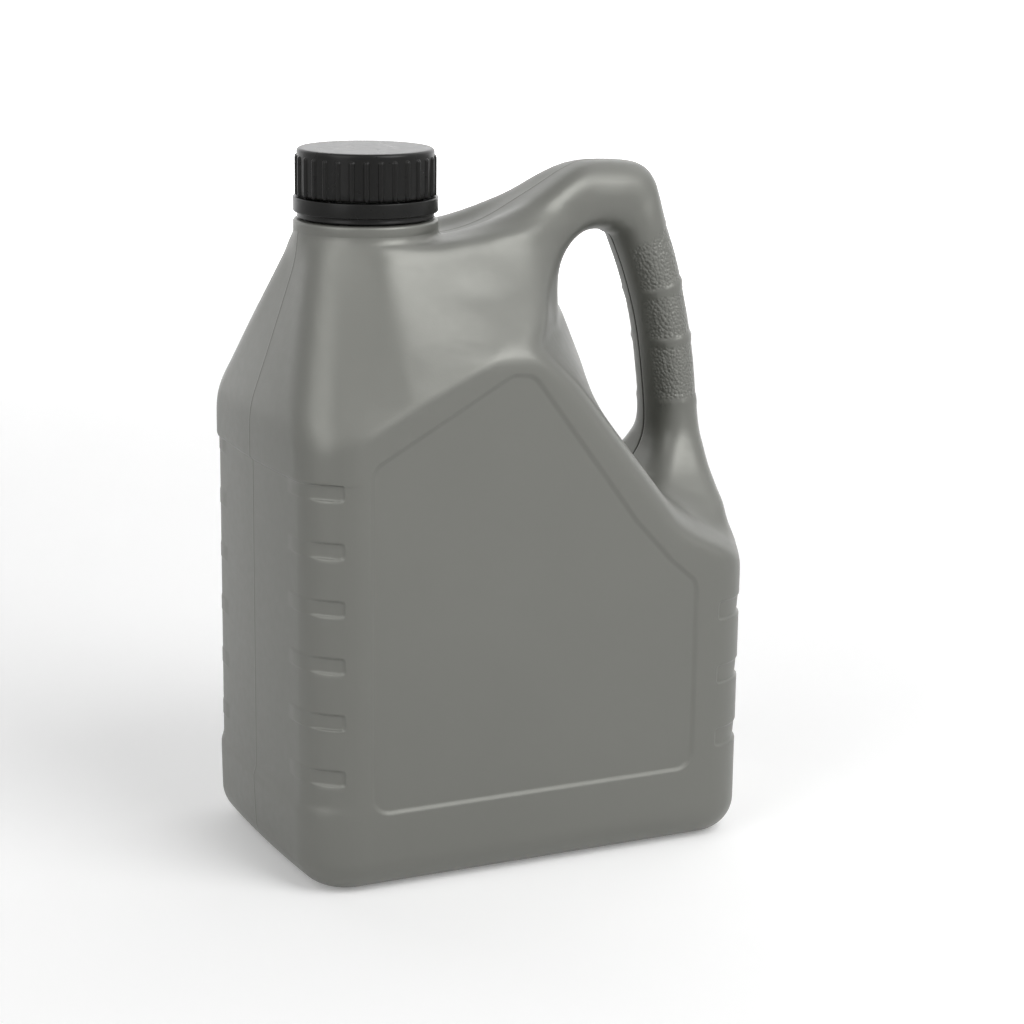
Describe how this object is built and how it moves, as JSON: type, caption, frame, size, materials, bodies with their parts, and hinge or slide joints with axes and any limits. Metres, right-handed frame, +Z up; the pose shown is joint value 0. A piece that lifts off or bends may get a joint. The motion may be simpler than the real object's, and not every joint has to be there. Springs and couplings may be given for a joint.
{
  "type": "hydraulic oil jug",
  "caption": "Blown plastic oil jug with hollow side handle, sloping shoulder, corner grooves, bare label panels and a ribbed screw cap over a tamper band.",
  "frame": {"origin": "on the ground under the middle of the jug's overall box", "axes": "+X from the pouring side to the handle, +Y across the width, +Z up"},
  "size_m": [0.2092, 0.131, 0.3],
  "materials": {
    "jug_plastic": "pewter grey satin, fine grain",
    "cap_plastic": "black satin",
    "liner_foam": "pale foam"
  },
  "bodies": {
    "jug": {"jug_body": "jug_plastic", "tamper_band": "cap_plastic"},
    "liner": {"cap_liner": "liner_foam"},
    "cap": {"cap": "cap_plastic"}
  },
  "joints": [
    {"name": "cap_lift", "type": "slide", "parent": "jug", "child": "liner", "axis": [0, 0, 1], "range_m": [0, 0.024]},
    {"name": "cap_turn", "type": "hinge", "parent": "liner", "child": "cap", "pos_m": [-0.0525, 0, 0.28], "axis": [0, 0, 1], "range_deg": [0, 1440]}
  ],
  "couplings": [
    {"joint": "cap_lift", "follows": "cap_turn", "m_per_rad": 0.00095493}
  ]
}
